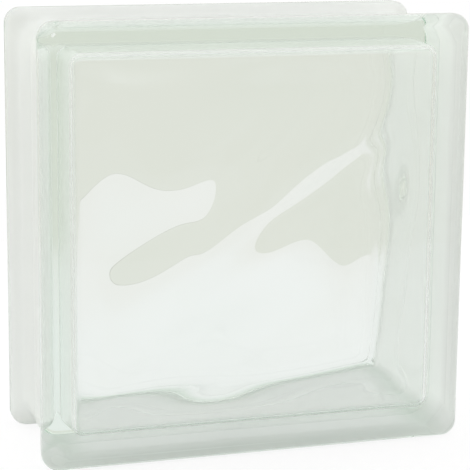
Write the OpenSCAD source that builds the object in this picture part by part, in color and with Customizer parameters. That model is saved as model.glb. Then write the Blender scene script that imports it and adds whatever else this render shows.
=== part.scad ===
// Hollow wall block of pressed glass: two dished halves fused rim to rim round a sealed air space.
// The faces are flat outside and carry a soft wave relief inside. A mortar channel runs round the
// sides between two narrow rims, and the block stands on the rims of its lower side.
// Millimetres, +Z up, front face towards -Y, origin on the floor under the middle of the block.

/* [Block] */
// Width of the face, from side to side
block_w = 190; // [140:1:300]
// Height of the face
block_h = 190; // [140:1:300]
// Thickness, from the front face to the back face
block_d = 80; // [74:1:120]

/* [Faces and rims] */
// Radius of the rolled edge round each face
edge_r = 5; // [3:0.1:6.5]
// Radius of the corners of the face's outline
corner_r = 7; // [6.5:0.1:12]
// Width of the flat rim behind the rolled edge
rim_w = 2.5; // [1.5:0.1:6]
// Step between the rim's inner edge and the shoulder
rim_step = 0.3; // [0.2:0.1:1]
// Mean thickness of the glass in each face
face_t = 8; // [6:0.1:11]

/* [Mortar channel] */
// Depth of the channel below the rims
channel_depth = 4.6; // [3:0.1:7]
// Length of the curved shoulder between a rim and the channel's floor
shoulder_run = 12; // [9:0.1:18]
// Radius of the channel floor's corners
channel_corner_r = 11; // [8:0.1:20]
// Height of the fused seam above the channel's floor
seam_h = 0.5; // [0.2:0.1:1]
// Width of the fused seam
seam_w = 4; // [2:0.1:8]

/* [Air space] */
// Thickness of the side walls at the seam
wall_t = 8; // [6:0.1:12]
// Draft of each half: how far its wall leans in between the seam and the face
draft = 1; // [0:0.1:2]
// Radius of the air space's corners at the seam
cavity_corner_r = 8; // [5.5:0.1:20]
// Radius of the fillet between a wall and a face
fillet_r = 3.5; // [2:0.1:6]

/* [Waves] */
// Width beside the walls over which the waves fade out
wave_margin = 14.5; // [6:0.5:30]
// Height of the long swell, from its middle to its crest
swell_h = 1.25; // [0:0.05:1.6]
// Length of the long swell, from crest to crest
swell_l = 116; // [80:1:200]
// Lean of the long swell's crests above the level
swell_lean = -51; // [-90:0.5:90]
// Shift of the long swell along its run
swell_shift = 5; // [-60:0.5:60]
// Height of the slanting roll, from its middle to its crest
roll_h = 1.2; // [0:0.05:1.6]
// Length of the slanting roll, from crest to crest
roll_l = 72; // [55:1:150]
// Lean of the roll's crests above the level
roll_lean = 45.5; // [-90:0.5:90]
// Shift of the roll along its run
roll_shift = 6; // [-40:0.5:40]
// Height of the ripple, from its middle to its crest
ripple_h = 0.6; // [0:0.05:1]
// Length of the ripple, from crest to crest
ripple_l = 49; // [40:1:100]
// Lean of the ripple's crests above the level
ripple_lean = 6.5; // [-90:0.5:90]
// Shift of the ripple along its run
ripple_shift = -12; // [-30:0.5:30]

/* [Dip and ridge] */
// Depth of the long dip in the glass, high on the left of the front face
dip_depth = 2.1; // [0:0.1:2.5]
// Place of the dip's middle, across the face
dip_x = -29; // [-60:0.5:60]
// Place of the dip's middle, up the face
dip_y = 32.5; // [-60:0.5:60]
// Lean of the dip above the level
dip_lean = 38; // [-90:0.5:90]
// Half width of the dip
dip_w = 15; // [10:0.5:30]
// Half length of the dip
dip_l = 59; // [30:0.5:90]
// Height of the narrow ridge on the glass, right of the middle
ridge_h = 1.1; // [0:0.1:1.5]
// Place of the ridge's middle, across the face
ridge_x = 22; // [-60:0.5:60]
// Place of the ridge's middle, up the face
ridge_y = 16; // [-60:0.5:60]
// Lean of the ridge above the level
ridge_lean = 35.5; // [-90:0.5:90]
// Half width of the ridge
ridge_w = 6.5; // [5:0.1:15]
// Half length of the ridge
ridge_l = 48; // [20:0.5:70]

/* [Hidden] */
$fn = 96;
// Steps in each of a shoulder's two arcs and round a corner of the waist
shoulder_steps = 6;
waist_steps = 8;
// Rings of the wave relief between the middle of a face and its fillet
face_rings = 16;
// Steps round a fillet, round a corner of the air space and along one of its sides
fillet_steps = 4;
cavity_steps = 4;
side_steps = 22;

// Depths from the middle plane, where the two halves meet
face_v = block_d / 2;
rim_v = face_v - edge_r - rim_w;
inner_v = face_v - face_t;

// Each shoulder is two equal arcs, one hollow and one round, that meet half way down
shoulder_drop = channel_depth - rim_step;
shoulder_r = (pow(shoulder_run, 2) + pow(shoulder_drop, 2)) / (4 * shoulder_drop);
shoulder_turn = asin(shoulder_run / (2 * shoulder_r));
// Half sizes of the air space at the seam, and of the level part of its faces
cavity_x = block_w / 2 - channel_depth - wall_t;
cavity_y = block_h / 2 - channel_depth - wall_t;
face_inset = draft + fillet_r;
level_x = cavity_x - face_inset;
level_y = cavity_y - face_inset;

// Carries a section round a w by h outline with round corners. The section's upright edge is the
// axis of each corner, which lies the given distance inside the outline.
module sweep_round(w, h, axis_in) {
    x = w / 2 - axis_in;
    y = h / 2 - axis_in;
    for (k = [0 : 3]) {
        translate([(k == 0 || k == 3) ? x : -x, k < 2 ? y : -y, 0])
            rotate(90 * k) rotate_extrude(angle = 90) children();
    }
    for (turn = [0, 180]) rotate(turn) {
        translate([x, 0, 0]) rotate([90, 0, 0]) linear_extrude(2 * y, center = true) children();
        translate([0, y, 0]) rotate([90, 0, 90]) linear_extrude(2 * x, center = true) children();
    }
}

// Half of a rim and its rolled edge, cut across
module rim_section() {
    flat = corner_r - edge_r;
    translate([0, rim_v]) square([corner_r, rim_w]);
    translate([0, rim_v]) square([flat, rim_w + edge_r]);
    translate([flat, face_v - edge_r]) intersection() {
        circle(edge_r);
        square(edge_r);
    }
}

// The front rim with its face, whole through
module face_plate() {
    sweep_round(block_w, block_h, corner_r) rim_section();
    translate([0, 0, (rim_v + face_v) / 2])
        cube([block_w - 2 * corner_r, block_h - 2 * corner_r, face_v - rim_v], center = true);
}

// A rectangle of the given half sizes with round corners, as points counted round from the right
function outline(x, y, r, arc_steps, sides) = [
    for (k = [0 : 3])
        let (cx = ((k == 0 || k == 3) ? 1 : -1) * (x - r), cy = (k < 2 ? 1 : -1) * (y - r),
            side = 2 * (k % 2 == 0 ? x - r : y - r), along = [cos(90 * k + 180), sin(90 * k + 180)],
            last = [cx + r * cos(90 * k + 90), cy + r * sin(90 * k + 90)])
        each concat(
            [for (a = [0 : arc_steps - 1])
                [cx + r * cos(90 * (k + a / arc_steps)), cy + r * sin(90 * (k + a / arc_steps))]],
            [for (s = [0 : sides - 1]) last + along * side * s / sides])
];

// The mean of a ring's points
function centre(ring) = [for (row = ring) 1] * ring / len(ring);

// Skins a stack of rings, given from the front to the back, and closes its two ends
module loft(rings) {
    around = len(rings[0]);
    last = (len(rings) - 1) * around;
    front = len(rings) * around;
    points = concat([for (ring = rings) each ring], [centre(rings[0]), centre(rings[len(rings) - 1])]);
    faces = concat(
        [for (j = [0 : around - 1]) [front, (j + 1) % around, j]],
        [for (i = [0 : len(rings) - 2]) for (j = [0 : around - 1])
            let (a = i * around + j, b = i * around + (j + 1) % around)
            each [[a, b, b + around], [a, b + around, a + around]]],
        [for (j = [0 : around - 1]) [front + 1, last + j, last + (j + 1) % around]]);
    polyhedron(points, faces);
}

// One half of the waist's profile, from inside its rim to the seam: depth and inset from the outline
shoulder = concat(
    [for (i = [0 : shoulder_steps]) let (a = shoulder_turn * i / shoulder_steps)
        [rim_v - shoulder_r * sin(a), rim_step + shoulder_r * (1 - cos(a))]],
    [for (i = [shoulder_steps - 1 : -1 : 0]) let (a = shoulder_turn * i / shoulder_steps)
        [rim_v - shoulder_run + shoulder_r * sin(a), channel_depth - shoulder_r * (1 - cos(a))]]);
waist_half = concat(
    [[rim_v + rim_w / 2, rim_step]], shoulder,
    [[seam_w / 2, channel_depth], [seam_w / 6, channel_depth - seam_h]]);
waist_rows = concat(waist_half,
    [for (i = [len(waist_half) - 1 : -1 : 0]) [-waist_half[i][0], waist_half[i][1]]]);

// The sides between the two rims, whole through. Their corners grow rounder towards the channel's floor.
module waist() {
    loft([for (row = waist_rows)
        let (r = corner_r + (channel_corner_r - corner_r) * row[1] / channel_depth)
        [for (p = outline(block_w / 2 - row[1], block_h / 2 - row[1], r, waist_steps, 1))
            [p[0], p[1], row[0]]]]);
}

// One train of waves at a point of a face: its crests lean above the level by the given angle
function wave(x, y, height, length, lean, shift) =
    height * cos(360 * (y * cos(lean) - x * sin(lean) - shift) / length);

// One single fold at a point measured from the fold's middle: a bell across and along its lean
function fold(x, y, height, width, length, lean) =
    height * exp(-pow((y * cos(lean) - x * sin(lean)) / width, 2)
        - pow((x * cos(lean) + y * sin(lean)) / length, 2));

// How far the air space rises above or falls below the mean inner face, pressed by one mould
function relief(x, y) =
    wave(x, y, swell_h, swell_l, swell_lean, swell_shift)
    + wave(x, y, roll_h, roll_l, roll_lean, roll_shift)
    + wave(x, y, ripple_h, ripple_l, ripple_lean, ripple_shift)
    + fold(x - dip_x, y - dip_y, dip_depth, dip_w, dip_l, dip_lean)
    - fold(x - ridge_x, y - ridge_y, ridge_h, ridge_w, ridge_l, ridge_lean);

// The share of the relief that is left at a point of a face: none at the end of its level part
function fade(gap) = let (s = min(max(gap / wave_margin, 0), 1)) s * s * (3 - 2 * s);
function share(x, y) = fade(level_x - abs(x)) * fade(level_y - abs(y));

// One half's rings, from the middle of its face to the seam: inset from the seam's outline,
// share of the face's size, and depth
half_rings = concat(
    [for (i = [1 : face_rings]) [face_inset, i / face_rings, inner_v]],
    [for (i = [1 : fillet_steps]) let (a = 90 * i / fillet_steps)
        [face_inset - fillet_r * sin(a), 1, inner_v - fillet_r * (1 - cos(a))]],
    [[0, 1, seam_w / 2]]);

function ring_points(ring) = [
    for (p = outline(cavity_x - ring[0], cavity_y - ring[0], cavity_corner_r - ring[0],
        cavity_steps, side_steps))
        [p[0] * ring[1], p[1] * ring[1], ring[2]]
];

// The sealed air space. The back half is the same pressing as the front, with a quarter turn.
module air_space() {
    fronts = [for (ring = half_rings)
        [for (p = ring_points(ring)) [p[0], p[1], p[2] + share(p[0], p[1]) * relief(p[0], p[1])]]];
    backs = [for (i = [len(half_rings) - 1 : -1 : 0])
        [for (p = ring_points(half_rings[i]))
            [p[0], p[1], -p[2] - share(p[0], p[1]) * relief(p[1], p[0])]]];
    loft(concat(fronts, [ring_points([seam_h, 1, 0])], backs));
}

// The whole block, stood up on the rims of its lower side
module glass_block() {
    color([0.84, 0.88, 0.84, 0.55])
        translate([0, 0, block_h / 2]) rotate([90, 0, 0]) difference() {
            union() {
                face_plate();
                mirror([0, 0, 1]) face_plate();
                waist();
            }
            air_space();
        }
}

glass_block();
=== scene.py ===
import math
import bmesh
import bpy
from mathutils import Matrix, Vector


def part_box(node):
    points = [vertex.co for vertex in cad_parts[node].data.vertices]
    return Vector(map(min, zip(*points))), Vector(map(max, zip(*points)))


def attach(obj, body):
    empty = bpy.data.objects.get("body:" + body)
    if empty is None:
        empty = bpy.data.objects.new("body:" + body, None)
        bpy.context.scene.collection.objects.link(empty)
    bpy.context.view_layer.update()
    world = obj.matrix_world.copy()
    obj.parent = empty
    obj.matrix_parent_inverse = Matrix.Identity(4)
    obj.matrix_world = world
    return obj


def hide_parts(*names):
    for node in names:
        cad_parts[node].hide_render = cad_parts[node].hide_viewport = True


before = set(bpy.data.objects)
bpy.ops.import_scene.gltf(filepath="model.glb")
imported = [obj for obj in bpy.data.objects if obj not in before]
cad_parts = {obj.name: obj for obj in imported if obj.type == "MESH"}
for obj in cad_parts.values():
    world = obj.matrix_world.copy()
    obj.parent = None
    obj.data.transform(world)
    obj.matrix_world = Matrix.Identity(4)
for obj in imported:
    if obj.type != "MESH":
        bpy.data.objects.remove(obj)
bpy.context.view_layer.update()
low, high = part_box("glass_block")
middle = (low + high) / 2
print("frame loaded", tuple(round(v, 4) for v in low), tuple(round(v, 4) for v in high))

mm = 0.001
quarterTurn = math.radians(90)
roundProfile = 0.5     # a bevel with this profile is a true round
halfWidth = (high.x - low.x) / 2
halfHeight = (high.z - low.z) / 2
halfDepth = (high.y - low.y) / 2

# sizes of the pressed glass, as the real block has them
block = {
    "edgeRadius": 5.0 * mm,       # rolled edge round each face
    "cornerRadius": 7.0 * mm,     # corners of the face
    "rimWidth": 2.5 * mm,         # flat land behind the rolled edge
    "channelDepth": 4.6 * mm,
    "channelCorner": 11.0 * mm,   # corners of the mortar channel's floor
    "shoulderRun": 12.0 * mm,
    "seamHeight": 0.5 * mm,       # where the two halves were fused
    "seamWidth": 4.0 * mm,
    "faceInset": 1.2 * mm,        # plain loop inside the rolled edge, keeps the face flat
    "edgeSteps": 10,
    "shoulderSteps": 8,
    "seamSteps": 4,
    "cornerSteps": 12,
}

# the sealed air space and the waves pressed into its two faces
hollow = {
    "wall": 8.0 * mm,
    "faceThickness": 8.0 * mm,
    "draft": 1.0 * mm,
    "corner": 5.0 * mm,
    "fillet": 3.5 * mm,
    "seamHeight": 0.5 * mm,       # seam standing into the air space
    "seamWidth": 4.0 * mm,
    "seamRound": 1.6 * mm,        # its crest is round
    "seamSteps": 6,
    "waveMargin": 14.5 * mm,      # the waves fade out over this width beside the walls
    "cell": 1.6 * mm,             # size of the squares that carry the waves
    "plainLoop": 0.6 * mm,
    "cornerSteps": 10,
    "filletSteps": 8,
    "levelSlack": 0.01 * mm,      # points this close to a plane lie in it
    "weldGap": 0.001 * mm,
    # height, length, lean in degrees and shift of each train of waves
    "swell": (1.25 * mm, 116.0 * mm, -51.0, 5.0 * mm),
    "roll": (1.2 * mm, 72.0 * mm, 45.5, 6.0 * mm),
    "ripple": (0.6 * mm, 49.0 * mm, 6.5, -12.0 * mm),
    # depth in the glass, place across and up, lean, half width and half length of each single fold
    "dip": (2.1 * mm, -29.0 * mm, 32.5 * mm, 38.0, 15.0 * mm, 59.0 * mm),
    "ridge": (-1.1 * mm, 22.0 * mm, 16.0 * mm, 35.5, 6.5 * mm, 48.0 * mm),
}


def clearSelection():
    if bpy.context.object and bpy.context.object.mode != "OBJECT":
        bpy.ops.object.mode_set(mode="OBJECT")
    bpy.ops.object.select_all(action="DESELECT")


def edgeProfile():
    # inset from the outline, depth from the middle plane and corner radius, from the face to the seam
    b = block
    rows = []
    for i in range(b["edgeSteps"] + 1):
        turn = quarterTurn * i / b["edgeSteps"]
        inset = b["edgeRadius"] * (1 - math.sin(turn))
        rows.append((inset, halfDepth - b["edgeRadius"] * (1 - math.cos(turn)), b["cornerRadius"] - inset))
    rimDepth = halfDepth - b["edgeRadius"] - b["rimWidth"]
    floorDepth = rimDepth - b["shoulderRun"]
    drop, run = b["channelDepth"], b["shoulderRun"]
    # the shoulder is two equal arcs that meet halfway
    bend = (run ** 2 + drop ** 2) / (4 * drop)
    most = math.asin(run / (2 * bend))
    curve = []
    for i in range(b["shoulderSteps"] + 1):
        turn = most * i / b["shoulderSteps"]
        curve.append((bend * (1 - math.cos(turn)), rimDepth - bend * math.sin(turn)))
    for i in range(b["shoulderSteps"] - 1, -1, -1):
        turn = most * i / b["shoulderSteps"]
        curve.append((drop - bend * (1 - math.cos(turn)), floorDepth + bend * math.sin(turn)))
    for i in range(b["seamSteps"] + 1):
        share = i / b["seamSteps"]
        rise = b["seamHeight"] * (1 - math.cos(math.pi * share)) / 2
        curve.append((drop - rise, b["seamWidth"] / 2 * (1 - share)))
    for inset, depth in curve:
        corner = b["cornerRadius"] + (b["channelCorner"] - b["cornerRadius"]) * inset / drop
        rows.append((inset, depth, corner))
    return rows


def addRing(inset, depth, corner):
    # a square with round corners, drawn upright at this depth
    bpy.ops.mesh.select_all(action="DESELECT")
    bpy.ops.mesh.primitive_plane_add(
        size=2 * (halfWidth - inset), location=(middle.x, middle.y + depth, middle.z),
        rotation=(quarterTurn, 0, 0))
    bpy.ops.mesh.bevel(offset=corner, offset_type="ABSOLUTE", segments=block["cornerSteps"],
                       affect="VERTICES", profile=roundProfile)
    bpy.ops.object.vertex_group_assign_new()
    bpy.ops.mesh.delete(type="ONLY_FACE")


def selectRing(obj, index):
    obj.vertex_groups.active_index = index
    bpy.ops.object.vertex_group_select()


def makeShell():
    clearSelection()
    mesh = bpy.data.meshes.new("glassBlock")
    shell = bpy.data.objects.new("glassBlock", mesh)
    bpy.context.scene.collection.objects.link(shell)
    shell.select_set(True)
    bpy.context.view_layer.objects.active = shell
    bpy.ops.object.mode_set(mode="EDIT")
    bpy.ops.mesh.select_mode(type="VERT")
    # the back half repeats the front half's rows the other way round, but for the seam's crest
    half = edgeProfile()
    rows = [(inset, -depth, corner) for inset, depth, corner in half]
    rows += half[-2::-1]
    for row in rows:
        addRing(*row)
    for i in range(len(rows) - 1):
        bpy.ops.mesh.select_all(action="DESELECT")
        selectRing(shell, i)
        selectRing(shell, i + 1)
        bpy.ops.mesh.select_mode(type="EDGE")
        bpy.ops.mesh.bridge_edge_loops()
        bpy.ops.mesh.select_mode(type="VERT")
    for i in (0, len(rows) - 1):
        bpy.ops.mesh.select_all(action="DESELECT")
        selectRing(shell, i)
        bpy.ops.mesh.edge_face_add()
        bpy.ops.mesh.select_mode(type="FACE")
        bpy.ops.mesh.inset(thickness=block["faceInset"])
        bpy.ops.mesh.select_mode(type="VERT")
    bpy.ops.mesh.select_all(action="SELECT")
    bpy.ops.mesh.normals_make_consistent(inside=False)
    bpy.ops.object.mode_set(mode="OBJECT")
    shell.vertex_groups.clear()
    print("shell", len(rows), "loops", len(mesh.polygons), "faces")
    return shell


def fadeIn(gap):
    # a smooth step from 0 at the walls to 1 past the margin
    share = min(max(gap / hollow["waveMargin"], 0), 1)
    return share * share * (3 - 2 * share)


def leanPlace(x, z, lean):
    # a point's places along and across a line that leans above the level
    turn = math.radians(lean)
    return x * math.cos(turn) + z * math.sin(turn), z * math.cos(turn) - x * math.sin(turn)


def waveHeight(x, z):
    total = 0.0
    for name in ("swell", "roll", "ripple"):
        height, length, lean, shift = hollow[name]
        across = leanPlace(x, z, lean)[1] - shift
        total += height * math.cos(2 * math.pi * across / length)
    for name in ("dip", "ridge"):
        height, placeX, placeZ, lean, halfWide, halfLong = hollow[name]
        along, across = leanPlace(x - placeX, z - placeZ, lean)
        total += height * math.exp(-(across / halfWide) ** 2 - (along / halfLong) ** 2)
    return total


def makeHollow():
    h = hollow
    halfX = halfWidth - block["channelDepth"] - h["wall"]
    halfZ = halfHeight - block["channelDepth"] - h["wall"]
    inner = halfDepth - h["faceThickness"]
    clearSelection()
    bpy.ops.mesh.primitive_cube_add(size=2, location=middle)
    cavity = bpy.context.object
    cavity.scale = (halfX, inner, halfZ)
    bpy.ops.object.transform_apply(location=True, rotation=True, scale=True)
    bpy.ops.object.mode_set(mode="EDIT")
    bpy.ops.mesh.select_mode(type="EDGE")

    def pickEdges(test):
        mesh = bmesh.from_edit_mesh(cavity.data)
        for edge in mesh.edges:
            edge.select_set(test([v.co - middle for v in edge.verts]))
        mesh.select_flush_mode()
        bmesh.update_edit_mesh(cavity.data)

    def roundEdges(radius, steps):
        bpy.ops.mesh.bevel(offset=radius, segments=steps, affect="EDGES", profile=roundProfile)

    def drawIn(width):
        share = 1 - width / halfX
        bpy.ops.transform.resize(value=(share, 1, share), center_override=middle)

    def cutAcross(depth):
        bpy.ops.mesh.select_all(action="SELECT")
        bpy.ops.mesh.bisect(plane_co=(0, middle.y + depth, 0), plane_no=(0, 1, 0))

    # round the four corners, raise the seam, lean the walls and round the borders of the faces
    pickEdges(lambda ends: abs(ends[0].y - ends[1].y) > inner)
    roundEdges(h["corner"], h["cornerSteps"])
    for side in (-1, 0, 1):
        cutAcross(side * h["seamWidth"] / 2)
    pickEdges(lambda ends: all(abs(v.y) < h["levelSlack"] for v in ends))
    drawIn(h["seamHeight"])
    roundEdges(h["seamRound"], h["seamSteps"])
    for side in (-1, 1):
        pickEdges(lambda ends: all(abs(v.y - side * inner) < h["levelSlack"] for v in ends))
        drawIn(h["draft"])
    pickEdges(lambda ends: all(abs(abs(v.y) - inner) < h["levelSlack"] for v in ends))
    roundEdges(h["fillet"], h["filletSteps"])

    # plain loops beside the seam and the fillets keep the walls flat
    for depth in (h["seamWidth"] / 2 + h["plainLoop"], inner - h["fillet"] - h["plainLoop"]):
        for side in (-1, 1):
            cutAcross(side * depth)

    # cut the two faces into small squares for the waves
    for axis, reach in ((0, halfX), (2, halfZ)):
        count = int(2 * reach / h["cell"])
        for i in range(1, count):
            place = list(middle)
            place[axis] += reach * (2 * i / count - 1)
            normal = [0, 0, 0]
            normal[axis] = 1
            bpy.ops.mesh.select_all(action="SELECT")
            bpy.ops.mesh.bisect(plane_co=place, plane_no=normal)
    bpy.ops.mesh.select_all(action="SELECT")
    bpy.ops.mesh.remove_doubles(threshold=h["weldGap"])
    bpy.ops.mesh.normals_make_consistent(inside=True)
    bpy.ops.object.mode_set(mode="OBJECT")

    # press the waves, which fade out beside the walls
    # the back half is the same pressing, turned round and given a quarter turn
    start = inner - h["fillet"]
    flatX = halfX - h["draft"] - h["fillet"]
    flatZ = halfZ - h["draft"] - h["fillet"]
    for vert in cavity.data.vertices:
        x, y, z = vert.co - middle
        share = fadeIn(flatX - abs(x)) * fadeIn(flatZ - abs(z)) * (abs(y) > start)
        vert.co.y += share * waveHeight(z, x) if y > 0 else -share * waveHeight(x, z)
    print("hollow", len(cavity.data.polygons), "faces")
    return cavity


def makeBlock():
    shell = makeShell()
    cavity = makeHollow()
    clearSelection()
    cavity.select_set(True)
    shell.select_set(True)
    bpy.context.view_layer.objects.active = shell
    bpy.ops.object.join()
    bpy.ops.object.shade_smooth()
    # the large flats keep their own direction, and the small strips beside them take up the turn
    bpy.ops.object.modifier_add(type="WEIGHTED_NORMAL")
    bpy.ops.object.modifier_apply(modifier=shell.modifiers[-1].name)
    return shell


class Sock:
    # a shader socket that can be added, subtracted and multiplied
    def __init__(self, tree, out=None):
        self.tree = tree
        self.out = out

    def node(self, kind, settings=None, sockets=None, out=0):
        made = self.tree.nodes.new(kind)
        for name, value in (settings or {}).items():
            if name == "stops":   # a ramp has two
                for stop, (place, colour) in zip(made.color_ramp.elements, value):
                    stop.position = place
                    stop.color = colour
            else:
                setattr(made, name, value)
        for name, value in (sockets or {}).items():
            if isinstance(value, Sock):
                self.tree.links.new(value.out, made.inputs[name])
            else:
                made.inputs[name].default_value = value
        return Sock(self.tree, made.outputs[out]) if len(made.outputs) else made

    def other(self, name):
        # another output of the same node
        return Sock(self.tree, self.out.node.outputs[name])

    def maths(self, operation, first, second):
        return self.node("ShaderNodeMath", {"operation": operation}, {0: first, 1: second})

    def size(self):
        # the value without its sign
        return self.maths("ABSOLUTE", self, 0.0)

    def ease(self, value, start, end, first, last):
        return self.node("ShaderNodeMapRange", {"interpolation_type": "SMOOTHSTEP"},
                         {0: value, 1: start, 2: end, 3: first, 4: last})

    def mix(self, share, first, second):
        return self.node("ShaderNodeMix", {"data_type": "RGBA"}, {0: share, 6: first, 7: second}, out=2)

    def __add__(self, other):
        return self.maths("ADD", self, other)

    def __radd__(self, other):
        return self.maths("ADD", other, self)

    def __sub__(self, other):
        return self.maths("SUBTRACT", self, other)

    def __rsub__(self, other):
        return self.maths("SUBTRACT", other, self)

    def __mul__(self, other):
        return self.maths("MULTIPLY", self, other)

    def __rmul__(self, other):
        return self.maths("MULTIPLY", other, self)


def newTree(owner):
    owner.use_nodes = True
    owner.node_tree.nodes.clear()
    return Sock(owner.node_tree)


pressedGlass = {
    "ior": 1.52,
    "tint": (0.985, 1.0, 0.99, 1),
    "absorb": (0.805, 0.905, 0.835, 1),   # tint of the light that has passed through much glass
    "density": 8.5,                       # how fast it takes on the tint
    "sideRough": 0.55,
    "wallRough": 0.20,                    # the walls inside came out of the mould less smooth
    "coat": (0.985, 0.995, 0.98, 1),      # milky finish of the mortar channel
    "coatWorn": (0.955, 0.97, 0.95, 1),   # and where it is thinner
    "coatShare": 0.96,
    "coatRough": 0.35,
    "coatThrough": 0.50,                  # how much of the milk lets light pass
    "coatThin": 0.75,                     # how much of it is left where the shoulders meet the rims
    "coatEnd": 1.5 * mm,                  # it ends over this width, on the rims
    "cloud": 90.0,                        # scale of the uneven patches, per metre
    "cloudDetail": 3.0,
    "seamShadePlace": (0.3 * mm, 0.9 * mm),     # painted shade along the seam: the finish is thinnest this near to its middle, whole from here on
    "seamShadeFinish": 0.7,                    # how much of the finish is left in that painted shade line
}


def glassMaterial():
    g = pressedGlass
    material = bpy.data.materials.new("pressedGlass")
    new = newTree(material)
    place = new.node("ShaderNodeTexCoord", out="Object")
    x = new.node("ShaderNodeSeparateXYZ", sockets={0: place})
    y = x.other("Y")
    z = x.other("Z")
    sideways = (x - middle.x).size()
    upright = (z - middle.z).size()
    depth = (y - middle.y).size()
    outward = new.maths("MAXIMUM", sideways, upright)
    halfWall = block["channelDepth"] + hollow["wall"] / 2
    outer = new.maths("GREATER_THAN", outward, halfWidth - halfWall)
    rim = halfDepth - block["edgeRadius"] - block["rimWidth"]
    cloud = new.node("ShaderNodeTexNoise", sockets={
        "Vector": place, "Scale": g["cloud"], "Detail": g["cloudDetail"]})

    # the finish thins out over the shoulders and ends on the rims; on the seam's crest it is thinner, which
    # paints a shade line there
    thin = new.ease(depth, rim - block["shoulderRun"], rim, 1.0, g["coatThin"])
    ends = new.ease(depth, rim, rim + g["coatEnd"], 1.0, 0.0)
    # painted shade: a darker line of thinner finish along the seam's crest
    seamShade = new.ease(depth, *g["seamShadePlace"], g["seamShadeFinish"], 1.0)
    side = outer * thin * ends * seamShade

    # the walls and fillets of the air space, but not the waves or the outer faces
    flat = halfWidth - block["channelDepth"] - hollow["wall"] - hollow["draft"] - hollow["fillet"]
    facing = halfDepth - hollow["faceThickness"] / 2
    beyondWaves = new.maths("GREATER_THAN", outward, flat)
    behindFaces = new.maths("LESS_THAN", depth, facing)
    wall = (1.0 - outer) * beyondWaves * behindFaces

    rough = side * g["sideRough"] + wall * g["wallRough"]
    patchy = new.mix(cloud, g["coat"], g["coatWorn"])
    clear = new.node("ShaderNodeBsdfPrincipled", sockets={
        "Base Color": g["tint"], "Roughness": rough, "IOR": g["ior"], "Transmission Weight": 1.0})
    back = new.node("ShaderNodeBsdfPrincipled", sockets={
        "Base Color": patchy, "Roughness": g["coatRough"], "IOR": g["ior"]})
    through = new.node("ShaderNodeBsdfTranslucent", sockets={"Color": g["coat"]})
    milk = new.node("ShaderNodeMixShader", sockets={0: g["coatThrough"], 1: back, 2: through})
    surface = new.node("ShaderNodeMixShader", sockets={0: side * g["coatShare"], 1: clear, 2: milk})
    inside = new.node("ShaderNodeVolumeAbsorption", sockets={"Color": g["absorb"], "Density": g["density"]})
    new.node("ShaderNodeOutputMaterial", sockets={"Surface": surface, "Volume": inside})
    return material


plainWhite = (1, 1, 1, 1)

# the pale board that the block stands on, in metres from the block's middle
board = {
    "half": 0.429,                        # it ends this far behind the block
    "drop": 0.2 * mm,                     # keeps it just clear of the block
    "matt": (0.90, 0.90, 0.90, 1),
    "cameraGlow": 0.85,                   # how much it shines by itself, for the camera and for the glass
    "glassGlow": 1.0,
    "seen": (0.905, 0.905, 0.905, 1),     # as it shows through the glass
    "far": (0.88, 0.866, 0.85, 1),        # and its far part
    "farPart": (0.16, 0.42),              # where this begins and where it is full
    "edge": (0.50, 0.50, 0.45, 1),        # painted shadow: its far edge is a thin dark line, on the left
    "edgeShadowWidth": 1.5 * mm,
    "edgeShadowEnd": (0.06, 0.14),              # it fades out from the first of these places to the second
    "under": (1.0, 1.0, 1.0, 1),          # painted light: brighter than the rest of the board under the mortar channel
    "shade": (0.65, 0.72, 0.66, 1),       # and close under the rims, where little light comes
    "shadePlace": 10.0 * mm,              # this far inside the block's outline
    "shadeReach": (5.5 * mm, 11.0 * mm),  # full as far as the first width, gone at the second
}


def makeFloor():
    b = board
    clearSelection()
    bpy.ops.mesh.primitive_plane_add(size=2 * b["half"], location=(middle.x, middle.y, low.z - b["drop"]))
    floor = bpy.context.object
    floor.name = "floor"
    material = bpy.data.materials.new("paleBoard")
    new = newTree(material)
    camera = new.node("ShaderNodeLightPath", out="Is Camera Ray")
    through = camera.other("Is Transmission Ray")
    mirrored = camera.other("Is Glossy Ray")
    matt = new.node("ShaderNodeBsdfDiffuse", sockets={"Color": b["matt"]})
    place = new.node("ShaderNodeTexCoord", out="Object")
    x = new.node("ShaderNodeSeparateXYZ", sockets={0: place})
    y = x.other("Y")
    ring = new.maths("MAXIMUM", x.size() - halfWidth, y.size() - halfDepth) + b["shadePlace"]
    # painted light: the board glows brighter under the mortar channel and lights the block's underside
    under = new.maths("LESS_THAN", ring, 0.0)
    shade = new.ease(ring.size(), *b["shadeReach"], 1.0, 0.0)
    far = new.ease(y, *b["farPart"], 0.0, 1.0)
    # a painted shadow line along the board's far edge, fading out towards the right
    edge = new.maths("GREATER_THAN", y, b["half"] - b["edgeShadowWidth"]) * new.ease(x, *b["edgeShadowEnd"], 1.0, 0.0)
    seen = new.mix(far, b["seen"], b["far"])
    seen = new.mix(edge, seen, b["edge"])
    seen = new.mix(under, seen, b["under"])
    seen = new.mix(shade, seen, b["shade"])
    white = new.mix(camera, seen, plainWhite)
    glow = new.node("ShaderNodeEmission", sockets={"Color": white, "Strength": 1.0})
    share = camera * b["cameraGlow"] + (through + mirrored) * b["glassGlow"]
    surface = new.node("ShaderNodeMixShader", sockets={0: share, 1: matt, 2: glow})
    new.node("ShaderNodeOutputMaterial", sockets={"Surface": surface})
    floor.data.materials.append(material)


# the surroundings as the glass shows them; the camera itself sees plain white
room = {
    "backdrop": (0.77, 0.77, 0.715, 1),   # at the level of the block
    "sky": (0.97, 0.97, 0.96, 1),
    "skyStart": 0.6,                      # sine of the angle above the level where the backdrop ends
}


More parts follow.
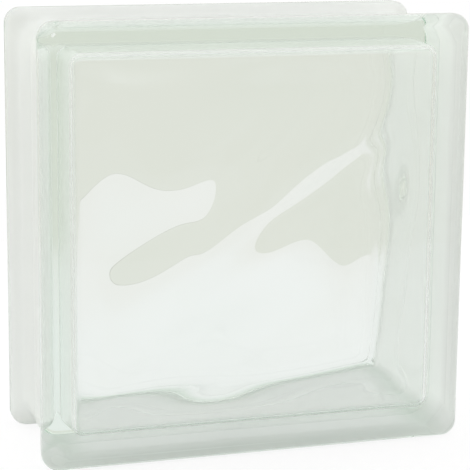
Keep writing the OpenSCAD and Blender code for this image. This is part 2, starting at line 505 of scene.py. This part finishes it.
def makeWorld():
    world = bpy.data.worlds.new("studio")
    bpy.context.scene.world = world
    new = newTree(world)
    camera = new.node("ShaderNodeLightPath", out="Is Camera Ray")
    way = new.node("ShaderNodeTexCoord", out="Generated")
    rise = new.node("ShaderNodeSeparateXYZ", sockets={0: way}, out="Z")
    stops = ((0.0, room["backdrop"]), (room["skyStart"], room["sky"]))
    ramp = new.node("ShaderNodeValToRGB", {"stops": stops}, {0: rise})
    shown = new.mix(camera, ramp, plainWhite)
    light = new.node("ShaderNodeBackground", sockets={"Color": shown, "Strength": 1.0})
    new.node("ShaderNodeOutputWorld", sockets={"Surface": light})


# place and size in metres and power in watts of each lamp; all aim at the middle of the block
lamps = {
    "key": ((-0.5, -1.4, 0.6), (1.0, 0.8), 1.2),
    "fill": ((1.35, -0.35, 0.85), (1.2, 1.9), 11.8),
    "side": ((-1.15, 0.6, 0.75), (1.3, 1.8), 11.6),
    "top": ((0.1, 0.5, 1.6), (1.4, 1.4), 2.0),
}


def makeLamps():
    for name, (place, size, power) in lamps.items():
        data = bpy.data.lights.new(name, "AREA")
        data.shape = "RECTANGLE"
        data.size, data.size_y = size
        data.energy = power
        lamp = bpy.data.objects.new(name, data)
        lamp.location = place
        lamp.rotation_euler = (middle - Vector(place)).to_track_quat("-Z", "Y").to_euler()
        # the lamps light the block and show no image of themselves in the glass
        lamp.visible_glossy = False
        lamp.visible_transmission = False
        bpy.context.scene.collection.objects.link(lamp)


# where the photographer stood, in metres and degrees
view = {
    "place": (-0.2506, -0.7722, 0.1642),   # from the middle of the block
    "yaw": 18.05,
    "pitch": 11.78,
    "roll": 0.556,
    "focalPixels": 1857.5,
    "picturePixels": 470,
    "sensor": 36.0,                        # width in millimetres
    "nearest": 0.01,                       # nothing closer is drawn
}


def makeCamera():
    data = bpy.data.cameras.new("camera")
    data.sensor_width = view["sensor"]
    data.sensor_fit = "HORIZONTAL"
    data.lens = view["sensor"] * view["focalPixels"] / view["picturePixels"]
    data.clip_start = view["nearest"]
    camera = bpy.data.objects.new("camera", data)
    yaw, pitch, roll = (math.radians(view[name]) for name in ("yaw", "pitch", "roll"))
    forward = Vector((math.sin(yaw) * math.cos(pitch), math.cos(yaw) * math.cos(pitch), -math.sin(pitch)))
    right = Vector((math.cos(yaw), -math.sin(yaw), 0))
    up = right.cross(forward)
    tiltRight = right * math.cos(roll) + up * math.sin(roll)
    tiltUp = up * math.cos(roll) - right * math.sin(roll)
    turn = Matrix((tiltRight, tiltUp, -forward)).transposed()
    camera.matrix_world = Matrix.Translation(middle + Vector(view["place"])) @ turn.to_4x4()
    bpy.context.scene.collection.objects.link(camera)
    bpy.context.scene.camera = camera


glassBlock = makeBlock()
glassBlock.data.materials.append(glassMaterial())
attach(glassBlock, "root")
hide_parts("glass_block")
print("glass block done")

makeFloor()
makeWorld()
makeLamps()
makeCamera()

# the light passes many walls of glass
bounces = {"max_bounces": 32, "transmission_bounces": 32, "glossy_bounces": 24, "diffuse_bounces": 12}
scene = bpy.context.scene
scene.view_settings.view_transform = "Standard"
for name, count in bounces.items():
    setattr(scene.cycles, name, count)
print("stage, lights and camera done")
